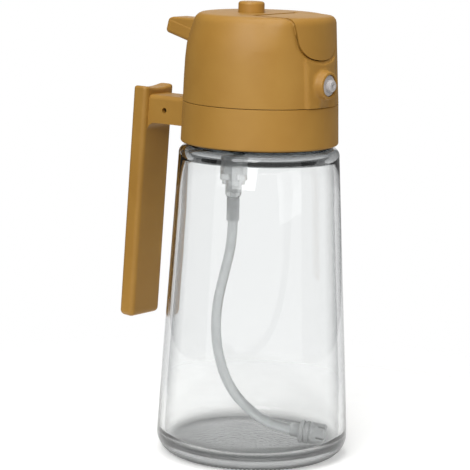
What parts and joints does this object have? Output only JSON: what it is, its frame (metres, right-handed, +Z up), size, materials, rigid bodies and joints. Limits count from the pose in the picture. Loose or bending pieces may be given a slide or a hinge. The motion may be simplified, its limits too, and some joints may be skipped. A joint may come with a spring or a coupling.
{
  "type": "spray and pour dispenser bottle",
  "caption": "Tapered glass bottle with a screw-on moulded cap: squeeze handle working a lift pump to a front nozzle, thumb lever opening a pour lid, vent button and weighted dip hose.",
  "frame": {"origin": "centre of the bottle's base ring, on the surface it stands on", "axes": "+Z up along the bottle's axis, +X towards the nozzle and the pour lid, so the handle is on -X"},
  "size_m": [0.113, 0.0846, 0.1993],
  "materials": {
    "glass": "clear polished",
    "cap_plastic": "satin ochre",
    "inner_plastic": "natural translucent",
    "sinker_plastic": "grey, weighted",
    "nozzle_plastic": "off-white",
    "silicone": "translucent",
    "hose": "translucent soft tube",
    "steel": "bright"
  },
  "bodies": {
    "bottle": {"glass_bottle": "glass"},
    "seal": {"neck_gasket": "silicone"},
    "cap": {"screw_collar": "cap_plastic", "deck_plate": "inner_plastic", "deck_screws": "steel", "dome_cover": "cap_plastic", "pour_spout": "inner_plastic", "lid_pin": "steel", "lid_spring": "steel", "lever_pin": "steel", "handle_pin": "steel", "pump_barrel": "inner_plastic", "barrel_cap": "inner_plastic", "pump_spring": "steel", "inlet_valve_body": "inner_plastic", "hose_connector": "silicone", "dip_hose": "hose", "sinker_weight": "sinker_plastic", "strainer_cap": "sinker_plastic", "feed_tube": "hose", "nozzle_chamber": "inner_plastic", "nozzle_insert": "nozzle_plastic", "swirl_plug": "inner_plastic", "vent_housing": "inner_plastic", "vent_spring": "steel"},
    "trigger": {"trigger_handle": "cap_plastic"},
    "plunger": {"pump_plunger": "inner_plastic", "piston_seal": "silicone"},
    "lever": {"thumb_lever": "cap_plastic"},
    "lid": {"pour_lid": "cap_plastic", "lid_seal": "silicone"},
    "button": {"vent_button": "cap_plastic", "vent_seal": "silicone"},
    "ball": {"inlet_ball": "steel"}
  },
  "joints": [
    {"name": "cap_lift", "type": "slide", "parent": "bottle", "child": "seal", "axis": [0, 0, 1], "range_m": [0, 0.00386]},
    {"name": "cap_turn", "type": "hinge", "parent": "seal", "child": "cap", "pos_m": [0, 0, 0.1485], "axis": [0, 0, 1], "range_deg": [0, 330]},
    {"name": "handle_squeeze", "type": "hinge", "parent": "cap", "child": "trigger", "pos_m": [-0.048, 0, 0.1485], "axis": [0, -1, 0], "range_deg": [0, 10], "stiffness_Nm_per_rad": 2, "springref_deg": -5.73},
    {"name": "plunger_lift", "type": "slide", "parent": "cap", "child": "plunger", "axis": [0, 0, 1], "range_m": [0, 0.0061], "deforming": ["pump_spring"]},
    {"name": "lever_press", "type": "hinge", "parent": "cap", "child": "lever", "pos_m": [-0.018, 0, 0.181], "axis": [0, -1, 0], "range_deg": [0, 14], "stiffness_Nm_per_rad": 0.2, "springref_deg": -5.73},
    {"name": "lid_open", "type": "hinge", "parent": "cap", "child": "lid", "pos_m": [0.0085, 0, 0.1919], "axis": [0, -1, 0], "range_deg": [0, 56], "deforming": ["lid_spring"]},
    {"name": "vent_press", "type": "slide", "parent": "cap", "child": "button", "axis": [0, 0, -1], "range_m": [0, 0.002], "stiffness_N_per_m": 300, "springref_m": -0.001, "deforming": ["vent_spring"]},
    {"name": "ball_lift", "type": "slide", "parent": "cap", "child": "ball", "axis": [0, 0, 1], "range_m": [0, 0.0012]}
  ],
  "couplings": [
    {"joint": "cap_lift", "follows": "cap_turn", "m_per_rad": 0.00066845},
    {"joint": "plunger_lift", "follows": "handle_squeeze", "m_per_rad": 0.0343},
    {"joint": "lid_open", "follows": "lever_press", "ratio": 4}
  ]
}
